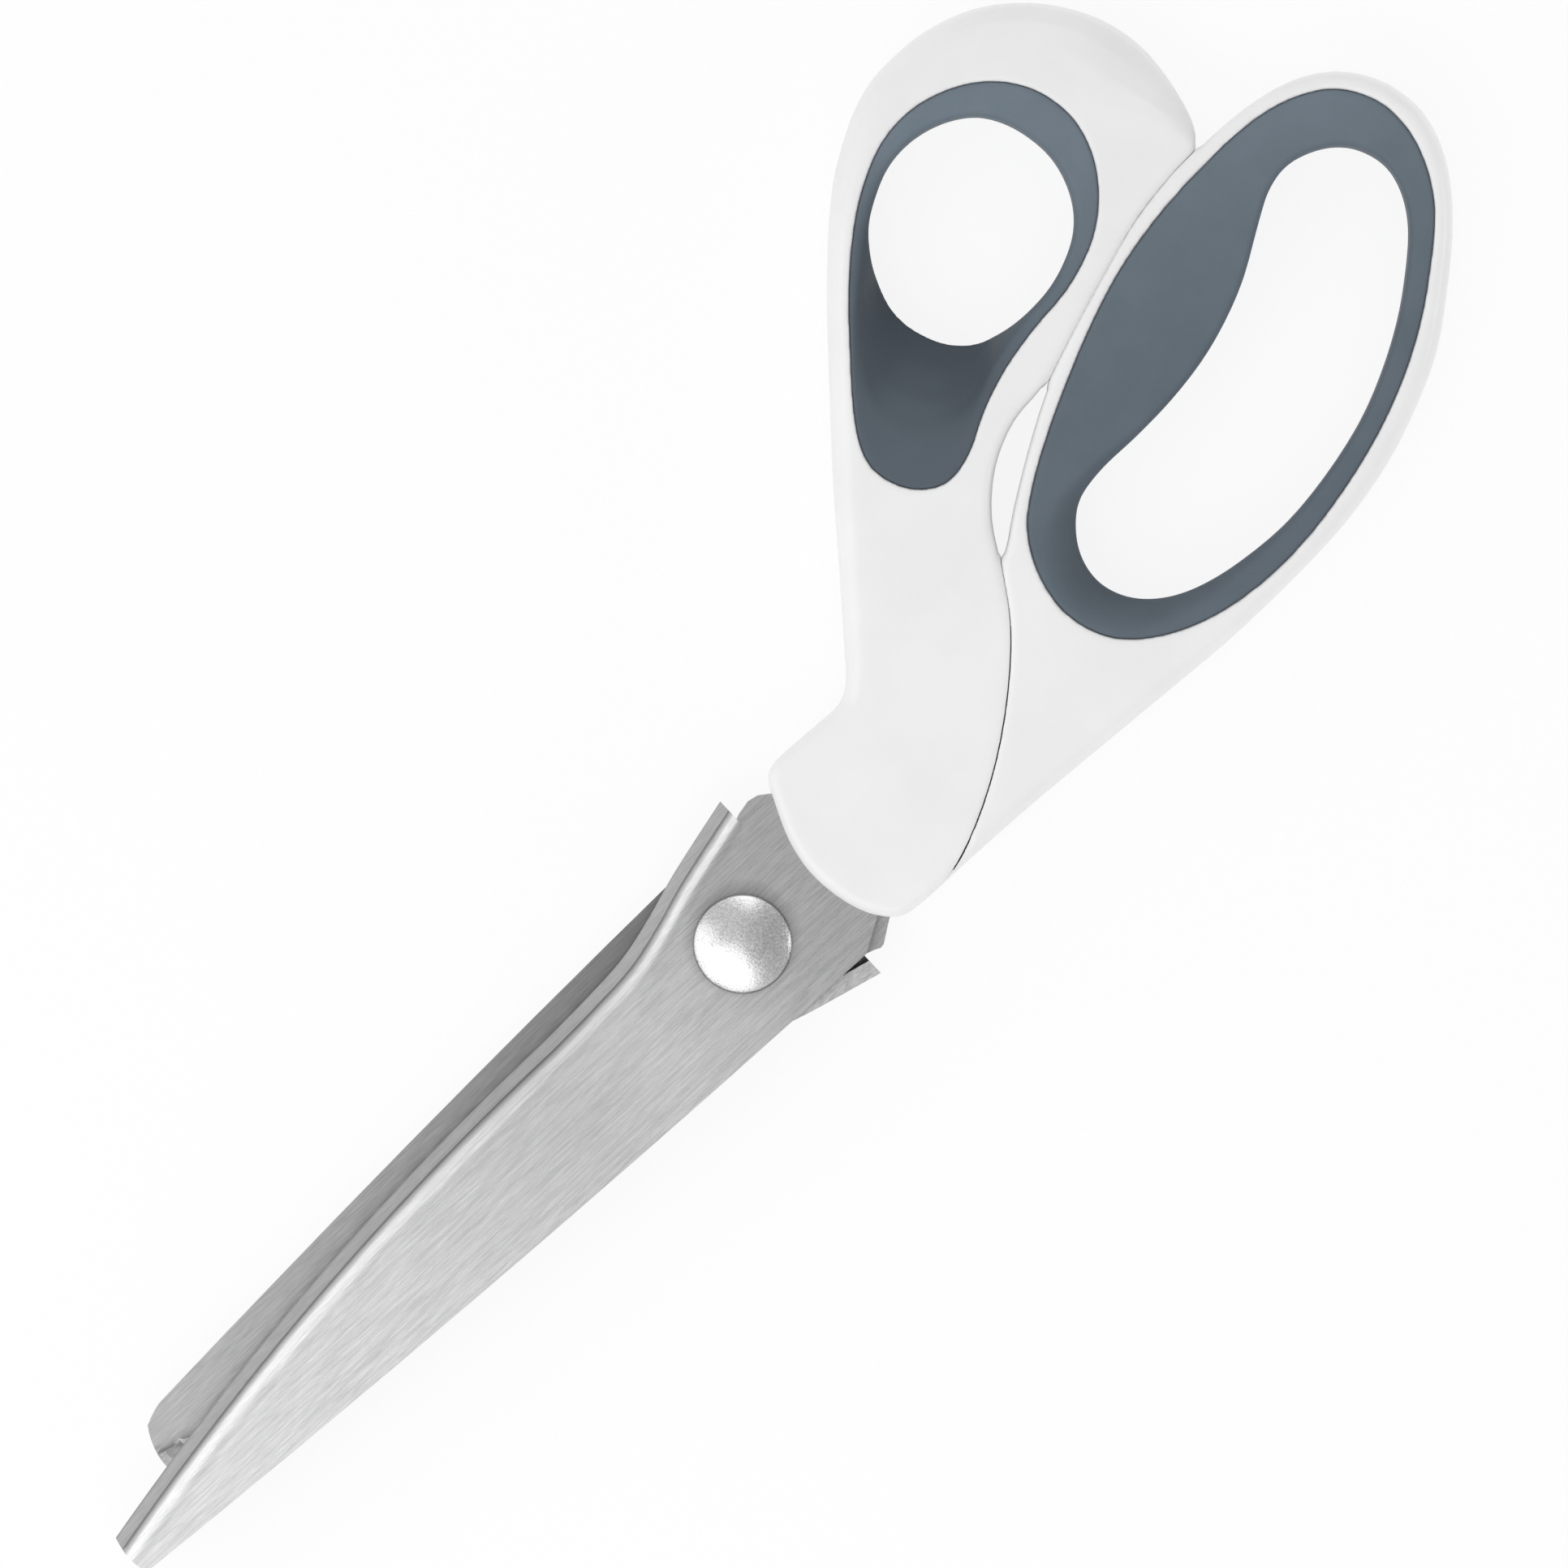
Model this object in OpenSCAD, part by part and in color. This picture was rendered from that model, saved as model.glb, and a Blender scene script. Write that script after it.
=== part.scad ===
// Pinking shears: two pressed blades with meshing V teeth, turning on one bolt,
// with half-lapped moulded handles and soft grips.
// X runs from the pivot to the handles, Y to the thumb side, Z to the front face.
// The origin is on the pivot axis, in the plane that the shears lie on.

/* [Blades] */
// Thickness of the blade steel
sheet_t = 2.1; // [1.8:0.1:2.4]
// Reach of the front blade from the pivot
front_reach = 106.8; // [96:0.2:116]
// Reach of the back blade from the pivot
back_reach = 95.8; // [86:0.2:104]
// Height of the ridge that stands above each plate
ridge_h = 0.12; // [0.08:0.02:0.2]
// Width of the flat lip along each cutting edge
lip_w = 1.3; // [1.1:0.1:1.5]
// Half the width of a plate at the pivot
plate_half_w = 11.4; // [10.8:0.1:12]
// Radius of the rounded blade ends
tip_r = 9; // [8:0.5:14]

/* [Teeth] */
// Pitch of the teeth along the blade
tooth_pitch = 4.6; // [3.6:0.1:6]
// Depth of the teeth
tooth_depth = 2; // [1.6:0.1:2.2]
// Distance from the pivot at which the teeth begin
tooth_start = 20; // [19:0.5:26]
// Running clearance between the teeth of the two blades
tooth_gap = 0.08; // [0.06:0.01:0.16]
// Width of the toothed face behind each cutting edge
tooth_face_w = 2.1; // [1.8:0.1:2.4]
// Steel left between the root of a tooth and the top of the lip
tooth_root_t = 0.6; // [0.5:0.05:0.9]
// Clearance from the tips of the teeth to the other blade's plate
tooth_tip_gap = 0.3; // [0.2:0.05:0.5]

/* [Pivot] */
// Diameter of the bolt's shank
bolt_d = 6; // [5:0.5:8]
// Radial running clearance of the front blade on the bolt
bolt_clear = 0.05; // [0.02:0.01:0.09]
// Diameter of the domed bolt head
head_d = 12.2; // [11:0.2:14]
// Height of the domed bolt head
head_h = 2.2; // [1.6:0.1:2.6]
// Height of the upright rim of the bolt head
head_rim_h = 0.5; // [0.3:0.1:0.8]
// Diameter of the spacer between the plates
spacer_d = 14; // [12:0.5:15]
// Size of the nut across its flats
nut_flats = 11; // [10:0.5:13]
// Thickness of the washer under the nut
washer_t = 0.8; // [0.6:0.1:1]
// Diameter of the washer under the nut
washer_d = 13; // [12:0.5:16]
// Running gap between faces that slide on each other
slide_gap = 0.05; // [0.03:0.01:0.1]

/* [Handles] */
// Thickness of the handles, front to back
handle_t = 13; // [12:0.5:16]
// Gap between the two handles where they lie together
handle_gap = 0.2; // [0.15:0.05:0.4]
// Upright band left between the two rounded edges of a handle
edge_land = 0.5; // [0.3:0.1:1]
// Fit of a blade's tang in its handle
tang_fit = 0.05; // [0.03:0.01:0.1]

/* [Grips] */
// Depth of the grips in the faces of the handles
grip_t = 1.4; // [1:0.1:2]
// Thickness of the grips where they line the holes
lining_t = 1.5; // [1.2:0.1:1.8]
// Least lap of the grips over the faces of the handles
grip_lap = 0.4; // [0.3:0.05:0.5]
// Small bevel where the grips meet the handles
grip_bevel = 0.3; // [0.2:0.05:0.5]
// Fit of the grips in the handles
grip_fit = 0.03; // [0.02:0.01:0.06]

/* [Hidden] */
$fn = 64;
mid_z = handle_t / 2;
plate_gap = tooth_depth / 2 + tooth_tip_gap;
plate_top = plate_gap + sheet_t;
lip_top = tooth_depth / 2 + tooth_root_t;
lip_bottom = -tooth_depth / 2 - tooth_root_t;
nut_h = mid_z - plate_top - washer_t;
nut_corner_r = nut_flats / sqrt(3);
nut_break = 0.3;
past = 1;

// The cutting edge is an arc that peaks behind the teeth, then an S-bend beside the bolt.
edge_peak = [-26, 7.9];
edge_bend = [edge_peak, [-19, 8.2], [-12, 8.8], [-6, 10.3], [0, 12.2], [10, 14.7]];
edge_tip_y = -0.75;

// The back blade lies this much to the thumb side of the front blade's mirror image.
back_lean = 0.45;

// Distance from the cutting edge in to the centre of the rounded end
front_round_in = 2.8;
back_round_in = 0.3;

// Bowed spine behind each blade, and how far the front one stands in
spine_slope = 0.0206;
spine_bow = 0.000234;
spine_in = 0.22;

// Round between the end and the spine of the back blade
corner_in = 7.5;
corner_r = 13;
corner_lap = 0.15;

// Bend of the steel behind the lip: foot, round shoulder up to the ridge, fall to the plate
lip_break = 0.2;
foot_r = 0.25;
shoulder_r = plate_top + ridge_h - lip_top - foot_r;
crest_in = lip_w + foot_r + shoulder_r;
fall_w = 1.2;
inner_r = 1.2;
plate_lap = 0.4;

// Where the steel goes into the handles: shoulder, tang and back to the spine.
tang_front = [[10.3, -11.3], [14.4, -8.9], [24, -7.6], [33, -3.2], [39.5, 3.5], [40.5, 9.5],
    [37, 11.2], [17.5, 10.2], [15.3, 11.1], [13.9, 12.1], [12.5, 12.4], [10.6, 12]];
tang_back = [[10.3, -11.5], [14.4, -9.6], [24, -9.3], [42, -9], [44, -7], [44, 7], [42, 9],
    [17.5, 9.4], [15.4, 10.05], [12.7, 11.9], [12.1, 12], [11.5, 11.7], [10.6, 11.4]];

// Outlines run anticlockwise: X, Y, width of the rounded edge, its share of half the thickness.
thumb_edge = [[111.5, 46, 9, 1], [110.5, 51.9, 9.4, 1], [108.2, 56.6, 8.6, 1],
    [105, 60.6, 7.8, 1], [101, 63.8, 7, 1], [96.8, 65.8, 6.4, 1], [92.2, 66.9, 5.8, 1],
    [88, 67.1, 5.4, 1], [84.1, 66.8, 5, 1], [80.5, 65.7, 4.3, 1], [77.3, 64.1, 3.8, 1],
    [73.4, 61.7, 3.3, 0.95], [69.9, 58.9, 2.7, 0.9], [65.6, 54.8, 2.3, 0.85],
    [60.5, 49.4, 2.2, 0.8], [53.3, 41.2, 2.4, 0.7], [47, 33.9, 2.6, 0.6], [40, 25.3, 2.5, 0.5],
    [35, 19.2, 2.4, 0.45], [31.6, 15.1, 2.2, 0.4], [29, 13.5, 2, 0.38], [25, 13.5, 1.8, 0.36],
    [18.6, 13.7, 1.6, 0.32], [16.3, 12.8, 1.3, 0.28], [14.8, 10, 1.2, 0.25],
    [12.9, 5.4, 1.2, 0.25], [12.1, 0.5, 1.2, 0.25], [12.8, -4.8, 1.2, 0.25],
    [14.5, -8.7, 1.2, 0.25], [17, -10.9, 1.1, 0.24], [21, -11.2, 0.9, 0.18], [25.3, -10.9, 0.6, 0.1],
    [31, -8.8, 0.5, 0.08], [38, -4.9, 0.5, 0.08], [45, 0.4, 0.5, 0.08], [51, 6.3, 0.7, 0.14],
    [55, 12.1, 1.1, 0.24], [58.3, 17.4, 1.2, 0.26], [63, 21.7, 1.2, 0.26], [68.5, 24.2, 1.1, 0.24],
    [74.5, 25, 0.9, 0.2], [81, 27.3, 0.7, 0.12], [89, 30, 0.6, 0.1], [97, 32.4, 0.6, 0.1],
    [104, 33.35, 0.8, 0.14], [108, 33.8, 1.2, 0.24], [110.3, 38, 4.2, 0.75]];
finger_edge = [[131.2, 19, 1.6, 0.6], [129.9, 24.3, 1.5, 0.6], [126.5, 28.8, 1.3, 0.6],
    [121.5, 31.6, 1.1, 0.4], [115, 32.9, 0.9, 0.2], [108, 33.1, 0.7, 0.12], [101, 32.6, 0.6, 0.1],
    [94, 31.2, 0.6, 0.1], [87, 29, 0.6, 0.1], [80, 26.6, 0.6, 0.1], [73.5, 23.9, 0.7, 0.14],
    [67, 20.2, 0.8, 0.16], [61, 16.3, 0.8, 0.16], [56, 12.8, 0.9, 0.18], [51, 11.6, 1, 0.24],
    [40, 11.5, 1.2, 0.3], [27, 11.5, 1.2, 0.3], [18.5, 11.5, 1.2, 0.28], [15.6, 10.4, 1.2, 0.25],
    [13.5, 6.3, 1.2, 0.25], [12.3, 1, 1.2, 0.25], [12.8, -4.2, 1.2, 0.25], [14.3, -8.2, 1.2, 0.25],
    [16.6, -10.8, 1.2, 0.28], [20, -11.4, 1.3, 0.34], [28, -11.5, 1.6, 0.4],
    [38, -11.8, 1.8, 0.5], [50, -12.5, 1.8, 0.6], [60, -13.1, 1.7, 0.65], [69, -13.6, 1.6, 0.65],
    [77, -13.6, 1.5, 0.65], [85, -13.3, 1.4, 0.65], [92, -12.5, 1.5, 0.65], [99, -10.9, 1.7, 0.65],
    [106, -8.3, 1.7, 0.65], [112.5, -5, 1.6, 0.65], [118.5, -0.4, 1.5, 0.65], [124, 4.5, 1.4, 0.65],
    [128.2, 9.6, 1.5, 0.65], [130.5, 14.3, 1.6, 0.65]];

// Grip stations run anticlockwise: edge X and Y, hole X and Y, width of the rounding into the hole.
thumb_grip_line = [[99.1, 47.5, 94, 46, 0.8], [98, 52.3, 93.1, 50.7, 0.8], [95, 56.5, 90.9, 54.5, 0.8],
    [90.5, 59.4, 87.3, 56.9, 0.8], [85, 60.8, 83, 58, 0.8], [79.6, 60.2, 78.8, 57.7, 0.8],
    [74.5, 57.9, 75, 56.1, 0.8], [70, 54.8, 71.6, 53.8, 0.8], [64.7, 50, 69, 50.5, 2.8],
    [59.6, 44.3, 67.6, 47.4, 7.6], [55, 38.8, 66.8, 44.4, 12], [52.3, 34.5, 66.9, 41.8, 15],
    [51.7, 30.8, 67.5, 39.6, 16], [53.4, 26.7, 68.5, 37.4, 15.5], [57, 24.3, 70, 35.5, 13],
    [61.5, 25, 71.8, 34.2, 9.5], [66.5, 27.6, 74, 33.4, 5.4], [72, 29.6, 76.5, 32.9, 2.4],
    [78, 30.8, 79.5, 32.8, 1], [84, 31.5, 83, 33.2, 0.8], [89.5, 33.3, 86.6, 34.4, 0.8],
    [93.5, 35.9, 89.7, 36.2, 0.8], [96.6, 39.4, 92, 38.8, 0.8], [98.5, 43.3, 93.5, 42.2, 0.8]];
finger_grip_line = [[128.4, 18.3, 123.4, 15.8, 0.8], [127.8, 22.8, 122.5, 19.2, 0.8],
    [125.3, 26.9, 120.7, 21.6, 0.8], [121.5, 29.4, 118, 23.3, 0.8], [117, 30.8, 114.5, 24.2, 0.8],
    [112, 31.3, 110.8, 23.5, 0.8], [107, 31.2, 107, 21.4, 0.8], [101, 30.8, 101, 17.7, 0.8],
    [95, 29.9, 95.5, 15.3, 0.8], [89, 28.4, 90, 13.7, 0.8], [82, 25.8, 84, 12.8, 0.8],
    [75, 22.6, 78, 12.5, 1], [69, 19.5, 72.5, 12.5, 1.6], [64, 16.4, 68, 11.7, 2.6],
    [60.3, 13.2, 65.2, 9.6, 4], [57.7, 8.4, 63.2, 6.6, 4.8], [56.8, 2.8, 62.5, 3.2, 5],
    [58.2, -2.3, 63.2, 0.1, 4.8], [61.1, -5.8, 65, -2.6, 4.2], [65.4, -8.5, 68, -4.9, 3.2],
    [70.5, -10.3, 72, -6.5, 2.2], [76.5, -11.2, 77.2, -7.5, 1.4], [84, -11.1, 84.2, -7.9, 1],
    [92, -9.8, 91.6, -7, 0.8], [100, -7.6, 99.2, -5.1, 0.8], [107, -4.7, 105.4, -2.5, 0.8],
    [113, -1.3, 111.2, 0.8, 0.8], [118.5, 2.8, 116, 4.4, 0.8], [124, 7.8, 120.2, 8.3, 0.8],
    [127.2, 13.2, 122.6, 12.1, 0.8]];
neck_end = 57;
shoulder_x = 17;
handle_room = 12 * handle_t;
face_over = 0.1;
core_share = 0.74;
scoop = 1.6;
edge_parts = 3;
round_parts = 4;
grip_parts = 3;
blade_parts = 20;
spine_parts = 16;
bend_parts = 4;
foot_parts = 2;

// Smooth curves through given points
function blend(a, b, c, d, t) =
    0.5 * (2 * b + (c - a) * t + (2 * a - 5 * b + 4 * c - d) * pow(t, 2)
        + (3 * b - a - 3 * c + d) * pow(t, 3));
function closed_curve(P, parts) = let (n = len(P))
    [for (i = [0 : n - 1], j = [0 : parts - 1])
        blend(P[(i + n - 1) % n], P[i], P[(i + 1) % n], P[(i + 2) % n], j / parts)];
function open_curve(P, parts) = let (n = len(P) - 1)
    [for (i = [0 : n - 1], j = [0 : parts - 1])
        blend(P[max(i - 1, 0)], P[i], P[i + 1], P[min(i + 2, n)], j / parts), P[n]];

// Inward direction at a point of an anticlockwise outline
function inward(P, i) = let (n = len(P), a = P[(i + n - 1) % n], b = P[(i + 1) % n],
        t = [b.x - a.x, b.y - a.y]) [-t.y, t.x] / norm(t);
function grown(P, gap) = [for (i = [0 : len(P) - 1]) [P[i].x, P[i].y] - gap * inward(P, i)];

thumb_outline = closed_curve(thumb_edge, edge_parts);
finger_outline = closed_curve(finger_edge, edge_parts);

// Blade lines in the front blade's own frame: cutting edge and spine
function edge_line(reach, lean) = let (run = edge_peak.x + reach + past, last = edge_peak.x + reach)
    concat([for (i = [0 : blade_parts - 1]) let (s = run * (1 - i / blade_parts))
        [edge_peak.x - s, edge_peak.y - lean - (edge_peak.y - edge_tip_y) * pow(s / last, 2)]],
        [for (p = open_curve(edge_bend, bend_parts)) p - [0, lean]]);
function spine_y(x, lean) = spine_in - lean - plate_half_w - spine_slope * x + spine_bow * x * x;

// Section of the bent edge of a blade: distance in from the cutting edge, and height
foot_in = crest_in + 1.5 * fall_w;
foot_arc = [for (k = [0 : foot_parts]) let (a = 90 * k / foot_parts)
    [lip_w + foot_r * sin(a), lip_top + foot_r * (1 - cos(a))]];
shoulder_arc = [for (k = [1 : round_parts]) let (a = 90 * k / round_parts)
    [crest_in - shoulder_r * cos(a), lip_top + foot_r + shoulder_r * sin(a)]];
inner_arc = [for (k = [1 : grip_parts]) let (a = 90 * k / grip_parts)
    [tooth_face_w + inner_r * (1 - sin(a)), plate_gap - inner_r * (1 - cos(a))]];
edge_section = concat([[0, lip_bottom], [0, lip_top - lip_break], [lip_break, lip_top]],
    foot_arc, shoulder_arc,
    [[crest_in + fall_w / 2, plate_top + ridge_h / 2], [foot_in, plate_top - ridge_h / 2],
        [foot_in, plate_gap + plate_lap], [crest_in + plate_lap, plate_gap + plate_lap / 8]],
    inner_arc, [[tooth_face_w, lip_bottom]]);

// Sweep of that section along the cutting edge, cut off square beside the tang
module bent_edge(line) {
    q = len(edge_section);
    last = len(line);
    end = line[last - 1];
    run = concat(line, [end + past * (end - line[last - 2])]);
    points = [for (p = run, s = edge_section) [p.x, p.y - s.x, s.y]];
    sides = [for (i = [0 : last - 1], j = [0 : q - 1]) let (k = (j + 1) % q)
        each [[i * q + j, (i + 1) * q + j, (i + 1) * q + k], [i * q + j, (i + 1) * q + k, i * q + k]]];
    ends = [[for (j = [0 : q - 1]) j], [for (j = [q - 1 : -1 : 0]) last * q + j]];
    difference() {
        polyhedron(points, concat(sides, ends), convexity = 6);
        translate([end.x, end.y - 2 * foot_in, lip_bottom - past])
            cube([3 * foot_in, 3 * foot_in, plate_top - lip_bottom + 3 * past]);
    }
}

// Flat plate and tang, between its inner and outer faces
function plate_outline(line, tang, lean) = let (tip_x = line[0].x)
    concat([for (i = [0 : spine_parts]) let (x = tip_x * (1 - i / spine_parts)) [x, spine_y(x, lean)]],
        tang, [for (i = [len(line) - 2 : -1 : 0]) [line[i].x, line[i].y - crest_in]]);

// Space swept by the teeth of the other blade: rings of V shape about the pivot
module tooth_space(reach, phase) {
    half = tooth_pitch / 2;
    count = ceil((reach + 2 * past - tooth_start) / half);
    zigzag = [for (i = [0 : count]) let (side = i % 2 == 0 ? phase : -phase)
        [tooth_start + (i + 0.5) * half, side * tooth_depth / 2]];
    outer_r = zigzag[count].x;
    floor_z = -plate_top * 2;
    translate([0, 0, tooth_gap / 2])
        rotate_extrude($fn = 180)
            polygon(concat([[0, floor_z], [0, 0], [tooth_start, 0]], zigzag,
                [[outer_r + past, zigzag[count].y], [outer_r + past, floor_z]]));
}

// Space outside a round, from beyond its outermost point in over a given span
module outside_round(centre, r, span) {
    height = plate_top - lip_bottom + 3 * past;
    translate([0, 0, lip_bottom - past])
        difference() {
            translate([centre.x - r - 3 * past, centre.y - r])
                cube([span + 3 * past, 2 * r, height]);
            translate([centre.x, centre.y, -past])
                cylinder(r = r, h = height + 2 * past, $fn = 96);
        }
}

// One blade about the middle plane, with its plate on the +Z side; the phase makes crests meet roots
module blade(reach, round_in, tang, lean, phase) {
    line = edge_line(reach, lean);
    difference() {
        union() {
            translate([0, 0, plate_gap])
                linear_extrude(sheet_t)
                    polygon(plate_outline(line, tang, lean));
            bent_edge(line);
        }
        tooth_space(reach, phase);
        translate([0, 0, -past])
            cylinder(d = bolt_d + 2 * bolt_clear, h = plate_top + 2 * past);
        outside_round([tip_r - reach, edge_tip_y - lean - round_in], tip_r, tip_r / 2);
    }
}

module front_blade() {
    color("silver")
        translate([0, 0, mid_z])
            blade(front_reach, front_round_in, tang_front, 0, 1);
}

module back_blade() {
    corner_x = corner_in - back_reach;
    color("silver")
        translate([0, 0, mid_z])
            rotate([180, 0, 0])
                difference() {
                    blade(back_reach, back_round_in, tang_back, back_lean, -1);
                    outside_round([corner_x, spine_y(corner_x, back_lean) + corner_r - corner_lap],
                        corner_r, corner_r);
                }
}

// Domed head above the front plate, shank down to the nut's outer face
module pivot_bolt() {
    seat_z = mid_z + plate_top + slide_gap;
    dome_h = head_h - head_rim_h;
    dome_r = (pow(head_d / 2, 2) + pow(dome_h, 2)) / (2 * dome_h);
    color("gainsboro") {
        intersection() {
            translate([0, 0, seat_z])
                cylinder(d = head_d, h = head_h + past);
            translate([0, 0, seat_z + head_h - dome_r])
                sphere(r = dome_r, $fn = 128);
        }
        cylinder(d = bolt_d, h = seat_z + head_rim_h);
    }
}

module ring(outer_d, bottom_z, top_z) {
    translate([0, 0, bottom_z])
        difference() {
            cylinder(d = outer_d, h = top_z - bottom_z);
            translate([0, 0, -past])
                cylinder(d = bolt_d + 2 * bolt_clear, h = top_z - bottom_z + 2 * past);
        }
}

// Keeps the plates apart so that only the toothed lips touch
module pivot_spacer() {
    color("darkgray")
        ring(spacer_d, mid_z - plate_gap, mid_z + plate_gap - slide_gap);
}

module spring_washer() {
    color("dimgray")
        ring(washer_d, nut_h, nut_h + washer_t);
}

module pivot_nut() {
    chamfer_r = nut_flats / 2 - nut_break;
    color("gray")
        difference() {
            intersection() {
                cylinder(r = nut_corner_r, h = nut_h, $fn = 6);
                cylinder(r1 = chamfer_r, r2 = chamfer_r + 2 * nut_h, h = nut_h);
            }
            translate([0, 0, -past])
                cylinder(d = bolt_d + 2 * bolt_clear, h = nut_h + 2 * past);
        }
}

// A point of a handle's elliptic rounded edge, by its angle: X, Y and depth below the face
function edge_at(P, i, angle) = let (p = P[i], q = [p.x, p.y] + inward(P, i) * p[2] * (1 - cos(angle)))
    [q.x, q.y, (mid_z - edge_land / 2) * p[3] * (1 - sin(angle))];

// The last facet of that edge, carried on to just above the face
function edge_over(P, i) = let (a = edge_at(P, i, 90 * (1 - 1 / round_parts)), b = edge_at(P, i, 90))
    b + (b - a) * face_over / a.z;

// Handle body with rounded edges on both faces, which are then cut flat
module rounded_body(P) {
    n = len(P);
    ring_at = [for (k = [0 : round_parts]) [for (i = [0 : n - 1])
        k == round_parts ? edge_over(P, i) : edge_at(P, i, 90 * k / round_parts)]];
    points = concat([for (k = [round_parts : -1 : 0]) each ring_at[k]],
        [for (k = [0 : round_parts], p = ring_at[k]) [p.x, p.y, handle_t - p.z]]);
    last = 2 * round_parts + 1;
    bands = [for (r = [0 : last - 1], i = [0 : n - 1]) let (a = r * n + i, b = r * n + (i + 1) % n)
        each [[a, a + n, b + n], [a, b + n, b]]];
    faces = [[for (i = [0 : n - 1]) i], [for (i = [n - 1 : -1 : 0]) last * n + i]];
    intersection() {
        polyhedron(points, concat(bands, faces), convexity = 8);
        translate([0, -handle_room / 2, 0])
            cube([handle_room, handle_room, handle_t]);
    }
}

// Where the lining meets the core of a handle, and where the grip ends on its faces
function lining_at(width, rounding) = min(max(lining_t, rounding * core_share), width - grip_lap);
function core_hole(G) = [for (g = G) let (e = [g[0], g[1]], h = [g[2], g[3]], w = norm(e - h))
    h + (e - h) * lining_at(w, g[4]) / w];
function grip_edge(G) = [for (g = G) [g[0], g[1]]];

module grip_pocket(G, bottom_z) {
    translate([0, 0, bottom_z])
        linear_extrude(grip_t + past)
            polygon(grip_edge(G));
}

// Handle with a pocket in each face, then the lined hole between the pockets
module hollow_body(outline, line) {
    G = closed_curve(line, grip_parts);
    difference() {
        difference() {
            difference() {
                rounded_body(outline);
                grip_pocket(G, handle_t - grip_t);
            }
            grip_pocket(G, -past);
        }
        linear_extrude(handle_t)
            polygon(core_hole(G));
    }
}

// Neck of the other handle, grown by the gap, on one side of the middle plane
module lap_space(outline, bottom_z, top_z) {
    translate([0, 0, bottom_z])
        linear_extrude(top_z - bottom_z)
            union() {
                intersection() {
                    polygon(grown(outline, handle_gap));
                    translate([0, -neck_end / 2])
                        square(neck_end);
                }
                translate([0, -neck_end / 2])
                    square([shoulder_x, neck_end]);
            }
}

module tang_space(tang) {
    translate([0, 0, plate_gap - tang_fit])
        linear_extrude(sheet_t + 2 * tang_fit)
            polygon(grown(tang, tang_fit));
}

module thumb_handle() {
    color("whitesmoke")
        difference() {
            hollow_body(thumb_outline, thumb_grip_line);
            lap_space(finger_outline, -past, mid_z + handle_gap / 2);
            translate([0, 0, mid_z])
                tang_space(tang_front);
        }
}

module finger_handle() {
    color("whitesmoke")
        difference() {
            hollow_body(finger_outline, finger_grip_line);
            lap_space(thumb_outline, mid_z - handle_gap / 2, handle_t + past);
            translate([0, 0, mid_z])
                rotate([180, 0, 0])
                    tang_space(tang_back);
        }
}

// Soft grip: a C section that lines the hole and laps over both faces of the handle
function grip_section(g) = let (
        width = norm([g[0] - g[2], g[1] - g[3]]),
        e = width - grip_fit,
        w = min(g[4], e - 2 * grip_bevel),
        drop = min(g[4], mid_z - edge_land / 2),
        core = lining_at(width, g[4]) - grip_fit,
        web = mid_z - grip_t + grip_fit,
        top = concat([[e, web], [e, mid_z - grip_bevel], [e - grip_bevel, mid_z]],
            [for (k = [0 : round_parts]) let (s = k / round_parts)
                [w * (1 - s), mid_z - drop * pow(s, scoop)]]))
    concat(top, [for (i = [len(top) - 1 : -1 : 0]) [top[i].x, -top[i].y]], [[core, -web], [core, web]]);

module soft_grip(line) {
    G = closed_curve(line, grip_parts);
    n = len(G);
    q = len(grip_section(G[0]));
    points = [for (g = G) let (h = [g[2], g[3]], u = ([g[0], g[1]] - h) / norm([g[0], g[1]] - h))
        for (s = grip_section(g)) let (p = h + u * s.x) [p.x, p.y, mid_z + s.y]];
    faces = [for (i = [0 : n - 1], j = [0 : q - 1])
        let (a = i * q, b = ((i + 1) % n) * q, k = (j + 1) % q)
        each [[a + j, a + k, b + k], [a + j, b + k, b + j]]];
    polyhedron(points, faces, convexity = 8);
}

module thumb_grip() {
    color("slategray")
        soft_grip(thumb_grip_line);
}

module finger_grip() {
    color("slategray")
        soft_grip(finger_grip_line);
}

front_blade();
back_blade();
pivot_bolt();
pivot_spacer();
spring_washer();
pivot_nut();
thumb_handle();
finger_handle();
thumb_grip();
finger_grip();
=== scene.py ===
import math
import bpy
import numpy as np
from mathutils.bvhtree import BVHTree
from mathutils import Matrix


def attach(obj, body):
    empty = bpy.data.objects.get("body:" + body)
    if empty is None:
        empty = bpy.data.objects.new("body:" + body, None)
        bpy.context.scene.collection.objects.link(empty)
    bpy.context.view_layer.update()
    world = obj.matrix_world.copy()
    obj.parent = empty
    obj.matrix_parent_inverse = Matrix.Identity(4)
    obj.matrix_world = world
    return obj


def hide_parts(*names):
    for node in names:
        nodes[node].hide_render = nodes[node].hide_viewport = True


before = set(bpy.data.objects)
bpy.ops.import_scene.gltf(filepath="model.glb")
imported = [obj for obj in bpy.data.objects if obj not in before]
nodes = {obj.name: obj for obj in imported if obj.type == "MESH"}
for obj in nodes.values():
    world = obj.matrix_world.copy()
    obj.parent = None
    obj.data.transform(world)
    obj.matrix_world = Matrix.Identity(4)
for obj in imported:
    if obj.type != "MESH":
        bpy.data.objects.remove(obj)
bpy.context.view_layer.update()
mm = 0.001
mergeGap = 0.002    # mm, joins the corners that facets share


# small helpers

def selectOnly(piece):
    bpy.ops.object.select_all(action="DESELECT")
    piece.select_set(True)
    bpy.context.view_layer.objects.active = piece


def applyAll(piece):
    selectOnly(piece)
    for modifier in list(piece.modifiers):
        bpy.ops.object.modifier_apply(modifier=modifier.name)


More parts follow.
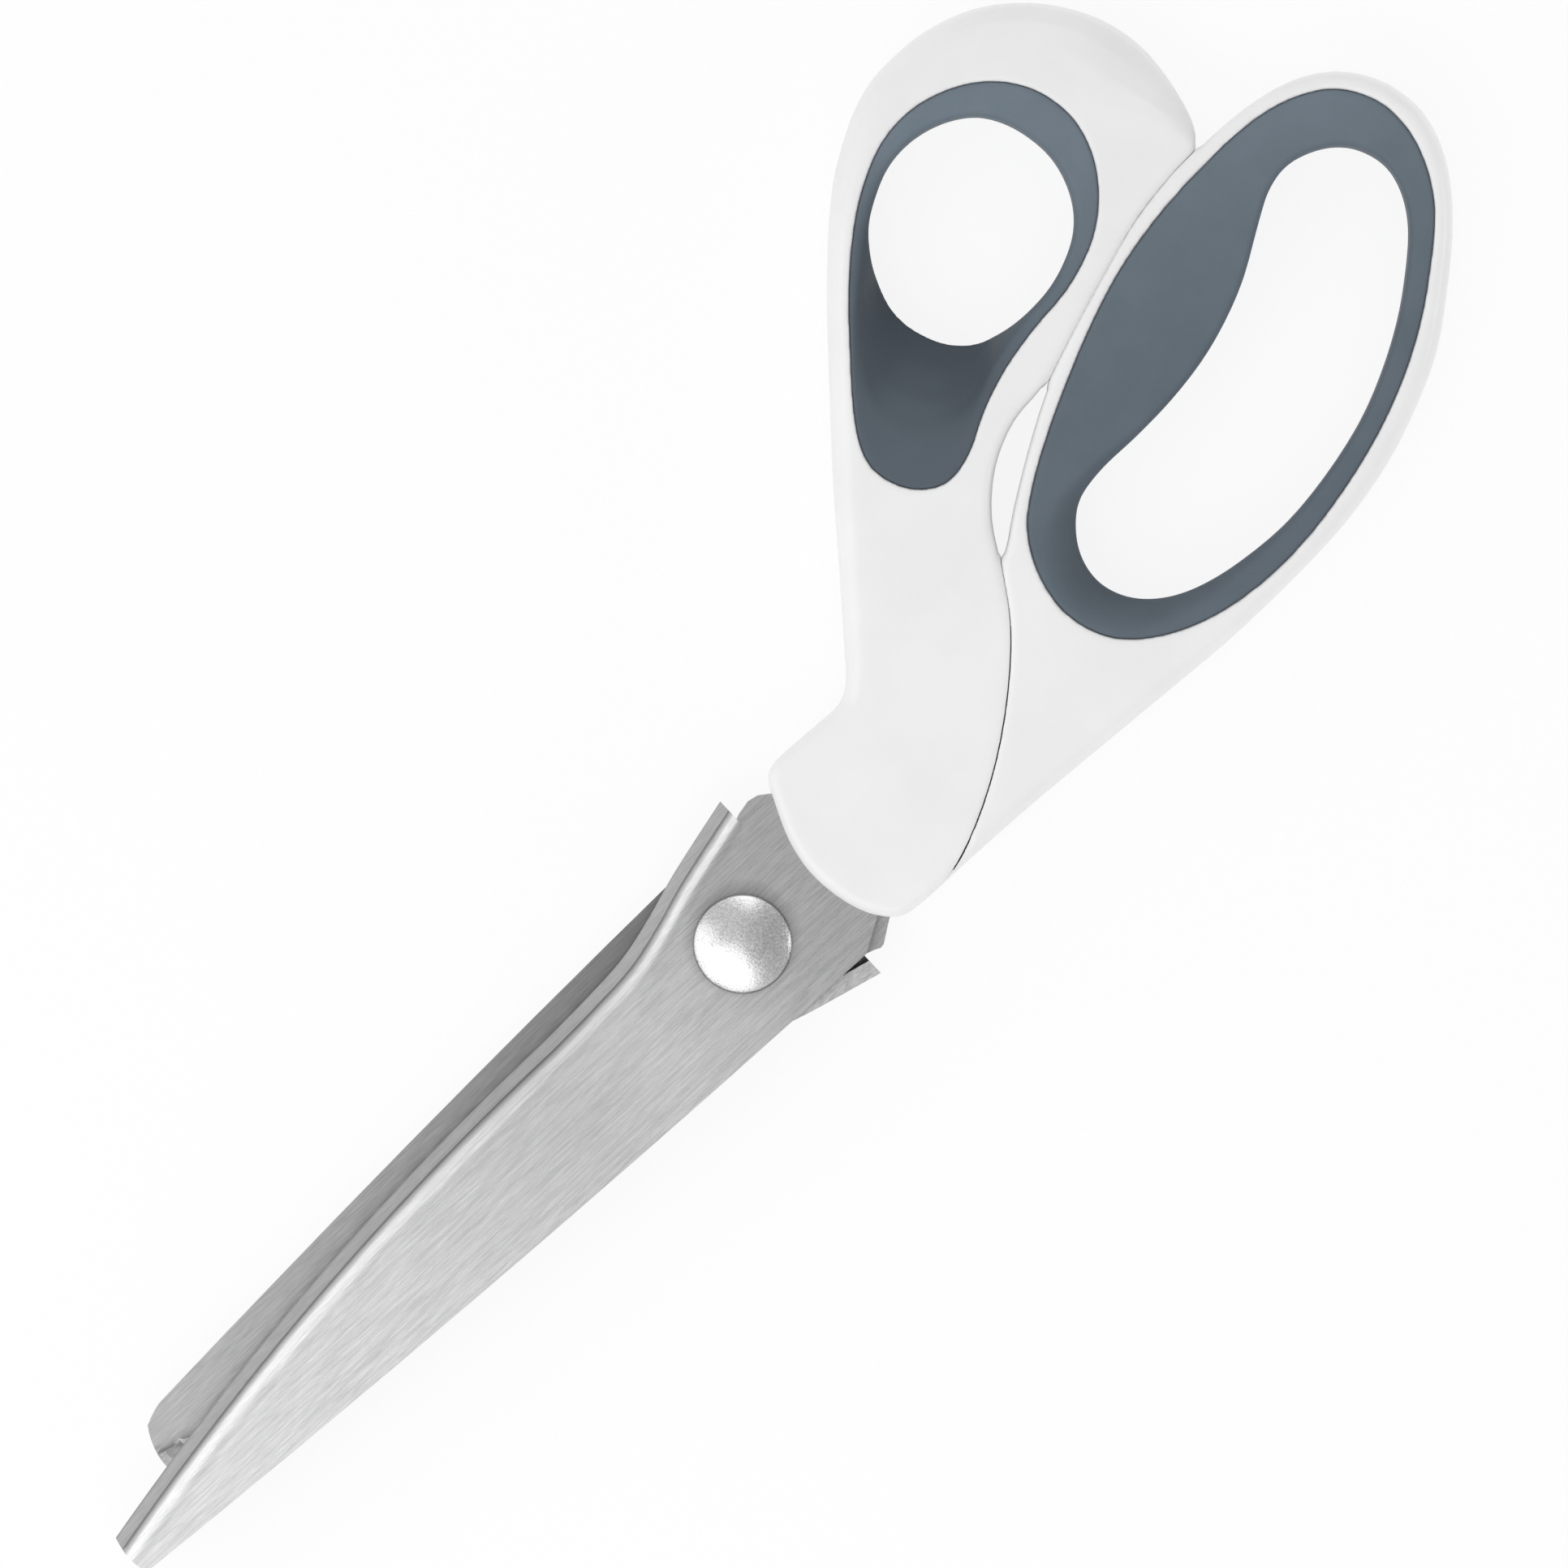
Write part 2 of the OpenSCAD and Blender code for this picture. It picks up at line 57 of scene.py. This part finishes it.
def copyNode(nodeName, pieceName):
    piece = bpy.data.objects.new(pieceName, nodes[nodeName].data.copy())
    piece.data.name = pieceName
    bpy.context.scene.collection.objects.link(piece)
    piece.data.materials.clear()
    selectOnly(piece)
    bpy.ops.object.mode_set(mode="EDIT")
    bpy.ops.mesh.select_all(action="SELECT")
    bpy.ops.mesh.remove_doubles(threshold=mergeGap * mm)
    bpy.ops.object.mode_set(mode="OBJECT")
    if piece.data.has_custom_normals:
        bpy.ops.mesh.customdata_custom_splitnormals_clear()
    return piece


def breakEdges(piece, spec):
    bevel = piece.modifiers.new("bevel", "BEVEL")
    bevel.width = spec["break"] * mm
    bevel.segments = spec["segments"]
    bevel.limit_method = "ANGLE"
    bevel.angle_limit = math.radians(spec["breakFrom"])
    applyAll(piece)
    bpy.ops.object.shade_smooth_by_angle(angle=math.radians(spec["smoothTo"]))


def settle(piece, spec, material):
    piece.data.materials.append(material)
    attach(piece, spec["body"])
    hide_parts(spec["node"])
    print("made", piece.name, len(piece.data.polygons), "faces")


# node helpers for materials

noiseSpan = (0.3, 0.7)    # where most of a noise's values lie


def newMaterial(name):
    material = bpy.data.materials.new(name)
    material.use_nodes = True
    tree = material.node_tree
    return material, tree, tree.nodes["Principled BSDF"]


def setSockets(shader, values):
    for socket, value in values.items():
        shader.inputs[socket].default_value = value


def addNoise(tree, scale, detail, roughness):
    place = tree.nodes.new("ShaderNodeTexCoord")
    stretch = tree.nodes.new("ShaderNodeMapping")
    stretch.inputs["Scale"].default_value = scale
    noise = tree.nodes.new("ShaderNodeTexNoise")
    setSockets(noise, {"Scale": 1.0, "Detail": detail, "Roughness": roughness})
    tree.links.new(place.outputs["Object"], stretch.inputs["Vector"])
    tree.links.new(stretch.outputs["Vector"], noise.inputs["Vector"])
    return noise.outputs["Fac"]


def addRamp(tree, factor, stops):
    ramp = tree.nodes.new("ShaderNodeValToRGB")
    elements = ramp.color_ramp.elements
    for element, (position, colour) in zip(elements, (stops[0], stops[-1])):
        element.position = position
        element.color = (*colour, 1)
    for position, colour in stops[1:-1]:
        elements.new(position).color = (*colour, 1)
    tree.links.new(factor, ramp.inputs["Fac"])
    return ramp.outputs["Color"]


def addRange(tree, value, low, high, span=noiseSpan):
    spread = tree.nodes.new("ShaderNodeMapRange")
    setSockets(spread, {"From Min": span[0], "From Max": span[1], "To Min": low, "To Max": high})
    tree.links.new(value, spread.inputs["Value"])
    return spread.outputs["Result"]


def addBump(tree, height, strength, depth, under=None):
    bump = tree.nodes.new("ShaderNodeBump")
    setSockets(bump, {"Strength": strength, "Distance": depth})
    tree.links.new(height, bump.inputs["Height"])
    if under is not None:
        tree.links.new(under, bump.inputs["Normal"])
    return bump.outputs["Normal"]


# camera square above the shears, tips to the lower left

shot = {"centre": (17.2, 10.9), "level": 6.5, "width": 193.2, "turn": -43.1,
        "lens": 700, "sensor": 36, "clipEnd": 50}


def addCamera():
    rise = shot["width"] * shot["lens"] / shot["sensor"]
    place = (shot["centre"][0] * mm, shot["centre"][1] * mm, (shot["level"] + rise) * mm)
    bpy.ops.object.camera_add(location=place, rotation=(0, 0, math.radians(shot["turn"])))
    camera = bpy.context.object
    camera.data.lens = shot["lens"]
    camera.data.sensor_width = shot["sensor"]
    camera.data.clip_end = shot["clipEnd"]
    bpy.context.scene.camera = camera
    bpy.context.scene.view_settings.view_transform = "Standard"
    print("camera set")


# white floor, an even sky with one darker side, and soft boxes

studio = {"floorSize": 6.0, "floorDrop": 0.05, "floorColour": 0.93, "floorRoughness": 0.9,
          "floorSpecular": 0.1, "floorGlow": 0.88, "skyTop": 0.73, "skyRim": 0.62, "rimRise": 0.5,
          "darkSide": (0.66, -0.42, 0.62), "darkSpan": (0.5, 0.95), "darkDepth": 0.27}
softBoxes = {
    "tipBox": {"place": (-0.21, -0.03, 0.36), "aim": (-0.1, 0.0, 0.0), "size": 0.36, "glow": 0.8},
    "lowBox": {"place": (-0.42, -0.36, 0.60), "aim": (0.0, 0.0, 0.0), "size": 0.6, "glow": 0.9},
    "farBox": {"place": (-0.60, 0.06, 0.54), "aim": (0.0, 0.0, 0.0), "size": 0.5, "glow": 0.78},
    "leftBox": {"place": (-0.42, 0.46, 0.46), "aim": (0.0, 0.0, 0.0), "size": 0.56, "glow": 0.8},
    "topBox": {"place": (0.46, 0.34, 0.46), "aim": (0.08, 0.04, 0.0), "size": 0.2, "glow": 0.95},
    "upBox": {"place": (0.64, 0.62, 0.28), "aim": (0.08, 0.04, 0.0), "size": 0.6, "glow": 0.95},
    "rightBox": {"place": (0.74, -0.62, 0.16), "aim": (0.08, 0.0, 0.0), "size": 0.5, "glow": 3.0},
}


def addFloor():
    drop = studio["floorDrop"] * mm
    bpy.ops.mesh.primitive_plane_add(size=studio["floorSize"], location=(0, 0, -drop))
    floor = bpy.context.object
    floor.name = "floor"
    material, tree, shader = newMaterial("whiteFloor")
    tone = studio["floorColour"]
    setSockets(shader, {"Base Color": (tone, tone, tone, 1), "Roughness": studio["floorRoughness"],
                        "Specular IOR Level": studio["floorSpecular"]})
    glow = tree.nodes.new("ShaderNodeEmission")
    path = tree.nodes.new("ShaderNodeLightPath")
    seen = path.outputs["Is Camera Ray"]
    for ray in ("Is Glossy Ray", "Is Transmission Ray"):
        either = tree.nodes.new("ShaderNodeMath")
        either.operation = "MAXIMUM"
        tree.links.new(seen, either.inputs[0])
        tree.links.new(path.outputs[ray], either.inputs[1])
        seen = either.outputs[0]
    share = tree.nodes.new("ShaderNodeMath")
    share.operation = "MULTIPLY"
    share.inputs[1].default_value = studio["floorGlow"]
    tree.links.new(seen, share.inputs[0])
    mix = tree.nodes.new("ShaderNodeMixShader")
    tree.links.new(share.outputs[0], mix.inputs["Fac"])
    tree.links.new(shader.outputs[0], mix.inputs[1])
    tree.links.new(glow.outputs[0], mix.inputs[2])
    tree.links.new(mix.outputs[0], tree.nodes["Material Output"].inputs["Surface"])
    floor.data.materials.append(material)
    print("floor laid")


def addSky():
    world = bpy.data.worlds.new("studioSky")
    bpy.context.scene.world = world
    world.use_nodes = True
    tree = world.node_tree
    background = tree.nodes["Background"]
    place = tree.nodes.new("ShaderNodeTexCoord")
    axes = tree.nodes.new("ShaderNodeSeparateXYZ")
    tree.links.new(place.outputs["Generated"], axes.inputs[0])
    rise = addRange(tree, axes.outputs["Z"], studio["skyRim"], studio["skyTop"], (0, studio["rimRise"]))
    facing = tree.nodes.new("ShaderNodeVectorMath")
    facing.operation = "DOT_PRODUCT"
    facing.inputs[1].default_value = studio["darkSide"]
    tree.links.new(place.outputs["Generated"], facing.inputs[0])
    shade = addRange(tree, facing.outputs["Value"], 0, studio["darkDepth"], studio["darkSpan"])
    dimmed = tree.nodes.new("ShaderNodeMath")
    dimmed.operation = "SUBTRACT"
    tree.links.new(rise, dimmed.inputs[0])
    tree.links.new(shade, dimmed.inputs[1])
    path = tree.nodes.new("ShaderNodeLightPath")
    lift = tree.nodes.new("ShaderNodeMix")
    tree.links.new(path.outputs["Is Camera Ray"], lift.inputs["Factor"])
    tree.links.new(dimmed.outputs[0], lift.inputs["A"])
    lift.inputs["B"].default_value = 1    # the camera sees white
    tree.links.new(lift.outputs["Result"], background.inputs["Strength"])
    background.inputs["Color"].default_value = (1, 1, 1, 1)
    print("sky set")


def addSoftBoxes():
    for name, box in softBoxes.items():
        x, y, z = (box["place"][i] - box["aim"][i] for i in range(3))
        tilt = math.atan2(math.hypot(x, y), z)
        around = math.atan2(y, x) + math.pi / 2
        bpy.ops.object.light_add(type="AREA", location=box["place"], rotation=(tilt, 0, around))
        lamp = bpy.context.object
        lamp.name = name
        lamp.data.shape = "DISK"
        lamp.data.size = box["size"]
        lamp.data.energy = box["glow"] * (math.pi * box["size"] / 2) ** 2
        lamp.visible_camera = False
    print("soft boxes hung")


# finishes: "along" and "round" give shares of the colour, by mm from a plane or an upright axis; these
# shares are painted light and painted shade

broadDetail = 3.0
fineDetail = 2.0
mouldedNoise = 0.5
steelNoise = 0.6
mouldedBump = 0.35
steelBump = 0.5
cloudSpan = (0.35, 0.65)
bladeMiddle = 6.5    # level at which the two blades meet
metal = {"Metallic": 1.0}
fineHair = (900, 16000, 16000)

whitePlastic = {"colours": ((0.848, 0.848, 0.848), (0.878, 0.878, 0.878)), "roughness": (0.3, 0.38),
                "cloud": 90, "grain": 2600, "grainDepth": 0.012,
                "sockets": {"Specular IOR Level": 0.45, "IOR": 1.49}}
slateRubber = {"colours": ((0.126, 0.158, 0.188), (0.136, 0.169, 0.201)), "roughness": (0.62, 0.72),
               # the darker thumb-rest colour here is painted shade for the rest's slope into the hole
               "cloud": 160, "grain": 3200, "grainDepth": 0.03, "scoop": (0.073, 0.091, 0.110),
               # painted light: the rubber is coloured lighter the further it lies along this axis, as
               # if lit from that side
               "along": ({"axis": (0.45, 0.89, 0), "middle": 0, "from": 33, "to": 92,
                          "shares": ((0, 0.86), (0.3, 0.88), (0.64, 1.02), (0.82, 1.17), (1, 1.22))},),
               "sockets": {"Specular IOR Level": 0.2, "Sheen Weight": 0.05}}
brushedSteel = {"colours": ((0.46, 0.46, 0.463), (0.64, 0.64, 0.644)), "roughness": (0.25, 0.36),
                "streak": (240, 5200, 5200), "hair": fineHair, "streakDepth": 0.003,
                # painted highlight on the ridge's crest, with painted shade just below it on the fall
                "along": ({"axis": (0, 0, 1), "middle": bladeMiddle, "from": 3.38, "to": 3.53,
                           "shares": ((0.1, 1), (0.45, 0.92), (0.73, 1.02), (0.95, 1.3))},
                          # painted light and shade: the plate is coloured darker near the handle and
                          # lighter towards the tips
                          {"axis": (1, 0, 0), "middle": 30, "from": 15, "to": 95,
                           "shares": ((0, 0.82), (0.12, 0.84), (0.26, 1), (0.38, 1.08),
                                      (0.56, 0.97), (0.9, 1))}),
                # painted shadow: a darker ring on the plate round the bolt head, offset to one side
                "round": {"centre": (0.5, 0.6), "from": 5.6, "to": 7.5,
                          "shares": ((0, 0.66), (1, 1))},
                "sockets": metal}
lipSteel = {"colours": ((0.36, 0.36, 0.363), (0.44, 0.44, 0.444)), "roughness": (0.46, 0.58),
            "streak": (300, 4600, 4600), "hair": fineHair, "streakDepth": 0.003,
            # painted light: the lip is coloured lighter near the pivot
            "along": ({"axis": (1, 0, 0), "middle": 0, "from": 5, "to": 30,
                       "shares": ((0, 1.18), (1, 1))},),
            "sockets": metal}
innerSteel = {"colours": ((0.35, 0.35, 0.353), (0.48, 0.48, 0.485)), "roughness": (0.36, 0.48),
              "streak": (240, 5200, 5200), "hair": fineHair, "streakDepth": 0.003,
              # painted shade: the inner side is coloured darker towards the pivot, where the other
              # blade shades it
              "along": ({"axis": (1, 0, 0), "middle": 0, "from": 10, "to": 90,
                         "shares": ((0, 0.55), (1, 1))},),
              "sockets": metal}
# painted shade and painted highlight: the wall and shoulder by the lip are coloured dark in the crease
# at the foot and bright towards the shoulder's top
footShadeAndHighlightSteel = {"colours": ((0.74, 0.74, 0.744), (0.90, 0.90, 0.904)), "roughness": (0.42, 0.55),
             "streak": (300, 4600, 4600), "hair": fineHair, "streakDepth": 0.003,
             "along": ({"axis": (0, 0, 1), "middle": bladeMiddle, "from": 1.6, "to": 3.6,
                        "shares": ((0, 0.48), (0.45, 0.46), (0.7, 0.66), (0.85, 1),
                                   (0.93, 0.95), (0.955, 0.8))},
                       # painted highlight: brighter away from mid-blade, towards the pivot and the tips
                       {"axis": (1, 0, 0), "middle": -30, "from": 0, "to": 45,
                        "shares": ((0, 0.84), (0.6, 1.07), (1, 1.11))}),
             "sockets": metal}
groundSteel = {"colours": ((0.45, 0.45, 0.453), (0.70, 0.70, 0.704)), "roughness": (0.26, 0.4),
               "streak": (900, 3600, 3600), "hair": (1600, 12000, 12000), "streakDepth": 0.004,
               "sockets": metal}
# painted shadow: near-black steel for the bolt head's rim, standing in for the dark line where the head
# meets the plate
rimShadowSteel = {"colours": ((0.07, 0.07, 0.07), (0.12, 0.12, 0.12)), "roughness": (0.4, 0.55),
            "streak": (900, 900, 900), "hair": (4000, 4000, 4000), "streakDepth": 0.003,
            "sockets": metal}
domeSteel = {"colours": ((0.55, 0.55, 0.55), (0.83, 0.83, 0.83)), "roughness": (0.16, 0.34),
             "pit": 4200, "pitDepth": 0.055,
             # painted shade: the dome is coloured darker in a thin band at its edge
             "round": {"centre": (0, 0), "from": 5.85, "to": 6.0, "shares": ((0, 1), (1, 0.35))},
             "sockets": metal}
plainSteel = {"colours": ((0.42, 0.42, 0.43), (0.6, 0.6, 0.61)), "roughness": (0.3, 0.45),
              "pit": 2400, "pitDepth": 0.01, "sockets": metal}


def shadeBy(tree, colour, distance, spec):
    place = addRange(tree, distance, 0, 1, (spec["from"] * mm, spec["to"] * mm))
    share = addRamp(tree, place, [(stop, (value,) * 3) for stop, value in spec["shares"]])
    shade = tree.nodes.new("ShaderNodeVectorMath")
    shade.operation = "MULTIPLY"
    tree.links.new(colour, shade.inputs[0])
    tree.links.new(share, shade.inputs[1])
    return shade.outputs["Vector"]


def shadeAlong(tree, colour, spec):
    place = tree.nodes.new("ShaderNodeTexCoord")
    reach = tree.nodes.new("ShaderNodeVectorMath")
    reach.operation = "DOT_PRODUCT"
    reach.inputs[1].default_value = spec["axis"]
    tree.links.new(place.outputs["Object"], reach.inputs[0])
    offset = tree.nodes.new("ShaderNodeMath")
    offset.operation = "SUBTRACT"
    offset.inputs[1].default_value = spec["middle"] * mm
    tree.links.new(reach.outputs["Value"], offset.inputs[0])
    distance = tree.nodes.new("ShaderNodeMath")
    distance.operation = "ABSOLUTE"
    tree.links.new(offset.outputs[0], distance.inputs[0])
    return shadeBy(tree, colour, distance.outputs[0], spec)


def shadeRound(tree, colour, spec):
    place = tree.nodes.new("ShaderNodeTexCoord")
    centred = tree.nodes.new("ShaderNodeVectorMath")
    centred.operation = "SUBTRACT"
    centred.inputs[1].default_value = (spec["centre"][0] * mm, spec["centre"][1] * mm, 0)
    tree.links.new(place.outputs["Object"], centred.inputs[0])
    flat = tree.nodes.new("ShaderNodeVectorMath")
    flat.operation = "MULTIPLY"
    flat.inputs[1].default_value = (1, 1, 0)
    tree.links.new(centred.outputs[0], flat.inputs[0])
    radius = tree.nodes.new("ShaderNodeVectorMath")
    radius.operation = "LENGTH"
    tree.links.new(flat.outputs[0], radius.inputs[0])
    return shadeBy(tree, colour, radius.outputs["Value"], spec)


def finishColour(tree, noise, finish, span=noiseSpan):
    low, high = finish["colours"]
    colour = addRamp(tree, noise, ((span[0], low), (span[1], high)))
    for spec in finish.get("along", ()):
        colour = shadeAlong(tree, colour, spec)
    if "round" in finish:
        colour = shadeRound(tree, colour, finish["round"])
    return colour


def mouldedFinish(name, finish):
    material, tree, shader = newMaterial(name)
    setSockets(shader, finish["sockets"])
    cloud = addNoise(tree, (finish["cloud"],) * 3, broadDetail, mouldedNoise)
    grain = addNoise(tree, (finish["grain"],) * 3, fineDetail, mouldedNoise)
    colour = finishColour(tree, cloud, finish, cloudSpan)
    # painted shade: mixes towards the darker colour where the thumb rest slopes into the hole
    if "scoop" in finish:
        hollow = tree.nodes.new("ShaderNodeAttribute")
        hollow.attribute_name = "scoop"
        deepen = tree.nodes.new("ShaderNodeMix")
        deepen.data_type = "RGBA"
        tree.links.new(hollow.outputs["Fac"], deepen.inputs["Factor"])
        tree.links.new(colour, deepen.inputs["A"])
        deepen.inputs["B"].default_value = (*finish["scoop"], 1)
        colour = deepen.outputs["Result"]
    bump = addBump(tree, grain, mouldedBump, finish["grainDepth"] * mm)
    tree.links.new(colour, shader.inputs["Base Color"])
    tree.links.new(addRange(tree, grain, *finish["roughness"]), shader.inputs["Roughness"])
    tree.links.new(bump, shader.inputs["Normal"])
    return material


def brushedFinish(name, finish):
    material, tree, shader = newMaterial(name)
    setSockets(shader, finish["sockets"])
    streak = addNoise(tree, finish["streak"], broadDetail, steelNoise)
    hair = addNoise(tree, finish["hair"], fineDetail, steelNoise)
    broad = addBump(tree, streak, steelBump, finish["streakDepth"] * mm)
    fine = addBump(tree, hair, steelBump, finish["streakDepth"] * mm, broad)
    tree.links.new(finishColour(tree, streak, finish), shader.inputs["Base Color"])
    tree.links.new(addRange(tree, hair, *finish["roughness"]), shader.inputs["Roughness"])
    tree.links.new(fine, shader.inputs["Normal"])
    return material


def pittedFinish(name, finish):
    material, tree, shader = newMaterial(name)
    setSockets(shader, finish["sockets"])
    pit = addNoise(tree, (finish["pit"],) * 3, fineDetail, steelNoise)
    bump = addBump(tree, pit, steelBump, finish["pitDepth"] * mm)
    tree.links.new(finishColour(tree, pit, finish), shader.inputs["Base Color"])
    tree.links.new(addRange(tree, pit, *finish["roughness"]), shader.inputs["Roughness"])
    tree.links.new(bump, shader.inputs["Normal"])
    return material


# moulded handles and grips: remeshed, then smoothed over their facets

mouldings = {
    "thumbHandle": {"node": "thumb_handle", "body": "thumb_half", "slot": "handle_plastic",
                    "voxel": 0.34, "passes": 10, "finish": "whitePlastic"},
    "fingerHandle": {"node": "finger_handle", "body": "finger_half", "slot": "handle_plastic",
                     "voxel": 0.36, "passes": 10, "finish": "whitePlastic"},
    "thumbGrip": {"node": "thumb_grip", "body": "thumb_half", "slot": "grip_rubber",
                  "voxel": 0.25, "passes": 14, "finish": "slateRubber"},
    "fingerGrip": {"node": "finger_grip", "body": "finger_half", "slot": "grip_rubber",
                   "voxel": 0.3, "passes": 14, "finish": "slateRubber"},
}
# painted shade mask for the thumb rest's slope into the hole
thumbScoopShade = {"piece": "thumbGrip", "hole": (81, 45.5), "from": 80, "to": 70, "flat": 0.99,
              "steep": 0.82, "share": 0.6, "rest": 0.5, "passes": 80, "blend": 0.5}
smoothFactor = 0.5


def paintScoopShade(piece, spec):    # painted shade: the thumb rest is coloured darker where it slopes into the hole
    mesh = piece.data
    count = len(mesh.vertices)
    ends = np.empty(len(mesh.edges) * 2, dtype=int)
    mesh.edges.foreach_get("vertices", ends)
    one, two = ends[0::2], ends[1::2]
    links = np.bincount(one, minlength=count) + np.bincount(two, minlength=count)
    place = np.empty(count * 3)
    mesh.vertices.foreach_get("co", place)
    place = place.reshape(-1, 3) / mm
    lean = np.empty(count * 3)
    mesh.vertices.foreach_get("normal", lean)
    lean = lean.reshape(-1, 3)
    toHole = np.array(spec["hole"]) - place[:, :2]
    slope = np.clip((spec["flat"] - np.abs(lean[:, 2])) / (spec["flat"] - spec["steep"]), 0, 1)
    slope *= (lean[:, :2] * toHole).sum(axis=1) > 0
    slope = spec["rest"] + spec["share"] * slope
    slope *= np.clip((spec["from"] - place[:, 0]) / (spec["from"] - spec["to"]), 0, 1)
    for turn in range(spec["passes"]):
        around = np.bincount(one, slope[two], count) + np.bincount(two, slope[one], count)
        slope = (1 - spec["blend"]) * slope + spec["blend"] * around / links
    mesh.attributes.new("scoop", "FLOAT", "POINT").data.foreach_set("value", slope)


seam = {"keep": 0.2, "full": 0.45, "none": 0.8,
        "walls": {"thumbHandle": "finger_handle", "fingerHandle": "thumb_handle"}}


def closeSeam(piece, otherNode):    # sharpens the moulded edges where the handles meet
    other = nodes[otherNode].data
    corners = [vertex.co for vertex in other.vertices]
    wall = BVHTree.FromPolygons(corners, [face.vertices for face in other.polygons])
    for vertex in piece.data.vertices:
        spot, _, _, gap = wall.find_nearest(vertex.co, seam["none"] * mm)
        if spot is None or gap < seam["keep"] * mm:
            continue
        way = spot - vertex.co
        if abs(way.z) < gap / 2:    # beside the vertex, not over or under it
            share = min(1, (seam["none"] - gap / mm) / (seam["none"] - seam["full"]))
            vertex.co += way * share * (1 - seam["keep"] * mm / gap)


def makeMoulding(name, spec):
    piece = copyNode(spec["node"], name)
    remesh = piece.modifiers.new("remesh", "REMESH")
    remesh.mode = "VOXEL"
    remesh.voxel_size = spec["voxel"] * mm
    smooth = piece.modifiers.new("smooth", "SMOOTH")
    smooth.factor = smoothFactor
    smooth.iterations = spec["passes"]
    applyAll(piece)
    bpy.ops.object.shade_smooth()
    if name in seam["walls"]:
        closeSeam(piece, seam["walls"][name])
    if name == thumbScoopShade["piece"]:
        paintScoopShade(piece, thumbScoopShade)
    settle(piece, spec, finishes[spec["finish"]])


# blades: edges broken, flats kept flat, lips and inner sides with finishes of their own; the wall and
# shoulder by the lip get painted shade in the crease and a painted highlight on the shoulder

blades = {
    "frontBlade": {"node": "front_blade", "body": "thumb_half", "slot": "blade_steel", "outward": 1},
    "backBlade": {"node": "back_blade", "body": "finger_half", "slot": "blade_steel", "outward": -1},
}
bladeEdges = {"flat": 0.3, "break": 0.12, "segments": 2, "breakFrom": 38, "smoothTo": 32}
bladeLevels = {"lipTop": 1.6, "toothTop": 1.02, "slack": 0.05}    # mm outward of the middle
bladeTilts = {"teeth": -0.3, "inner": -0.93, "lip": 0.6, "foot": -0.2, "toEdge": 0.12}
innerEnd = 10    # mm past the pivot, where the plate's finish takes over on the inner side
bladeFinishes = {"plate": "brushedSteel", "lip": "lipSteel", "inner": "innerSteel",
                 "foot": "footShadeAndHighlightSteel", "teeth": "groundSteel"}


def bladePart(face, outward):
    level = (face.center.z / mm - bladeMiddle) * outward
    tilt = face.normal.z * outward
    toEdge = face.normal.y * outward
    if tilt < bladeTilts["teeth"] and level < bladeLevels["toothTop"]:
        return "teeth"
    if tilt < bladeTilts["inner"] and face.center.x / mm < innerEnd:
        return "inner"
    if tilt > bladeTilts["lip"] and level < bladeLevels["lipTop"] + bladeLevels["slack"]:
        return "lip"
    aboveLip = level > bladeLevels["lipTop"] - bladeLevels["slack"]
    if tilt > bladeTilts["foot"] and toEdge > bladeTilts["toEdge"] and aboveLip:
        return "foot"
    return "plate"


def dressBlade(piece, outward):
    parts = list(bladeFinishes)
    for part in parts[1:]:    # settle has put the plate's finish first
        piece.data.materials.append(finishes[bladeFinishes[part]])
    for face in piece.data.polygons:
        face.material_index = parts.index(bladePart(face, outward))


def makeBlade(name, spec):
    piece = copyNode(spec["node"], name)
    bpy.ops.object.mode_set(mode="EDIT")
    bpy.ops.mesh.select_all(action="SELECT")
    bpy.ops.mesh.dissolve_limited(angle_limit=math.radians(bladeEdges["flat"]))
    bpy.ops.mesh.select_all(action="SELECT")
    bpy.ops.mesh.bisect(plane_co=(innerEnd * mm, 0, 0), plane_no=(1, 0, 0))
    bpy.ops.object.mode_set(mode="OBJECT")
    breakEdges(piece, bladeEdges)
    even = piece.modifiers.new("even", "WEIGHTED_NORMAL")
    even.keep_sharp = True
    applyAll(piece)
    settle(piece, spec, finishes[bladeFinishes["plate"]])
    dressBlade(piece, spec["outward"])


# pivot: domed bolt remade smooth, nut, washer and spacer kept

pivotBolt = {"node": "pivot_bolt", "body": "finger_half", "slot": "bolt_steel", "break": 0.06,
             "segments": 3, "breakFrom": 50, "smoothTo": 40, "seat": 9.9, "rimTilt": 0.845}
pivotRings = ("spring_washer", "pivot_nut", "pivot_spacer")


def makeBolt(spec):
    piece = copyNode(spec["node"], "pivotBolt")
    breakEdges(piece, spec)
    settle(piece, spec, finishes["domeSteel"])
    piece.data.materials.append(finishes["rimShadowSteel"])
    for face in piece.data.polygons:
        if face.center.z > spec["seat"] * mm and abs(face.normal.z) < spec["rimTilt"]:
            face.material_index = 1    # the head's rim, near-black as a painted shadow line where the head meets the plate


addCamera()
addFloor()
addSky()
addSoftBoxes()

finishes = {
    "whitePlastic": mouldedFinish("whitePlastic", whitePlastic),
    "slateRubber": mouldedFinish("slateRubber", slateRubber),
    "brushedSteel": brushedFinish("brushedSteel", brushedSteel),
    "lipSteel": brushedFinish("lipSteel", lipSteel),
    "innerSteel": brushedFinish("innerSteel", innerSteel),
    "footShadeAndHighlightSteel": brushedFinish("footShadeAndHighlightSteel", footShadeAndHighlightSteel),
    "groundSteel": brushedFinish("groundSteel", groundSteel),
    "rimShadowSteel": brushedFinish("rimShadowSteel", rimShadowSteel),
    "domeSteel": pittedFinish("domeSteel", domeSteel),
    "plainSteel": pittedFinish("plainSteel", plainSteel),
}
for name, spec in mouldings.items():
    makeMoulding(name, spec)
for name, spec in blades.items():
    makeBlade(name, spec)
makeBolt(pivotBolt)
for ring in pivotRings:
    nodes[ring].data.materials.clear()
    nodes[ring].data.materials.append(finishes["plainSteel"])
print("pivot dressed")
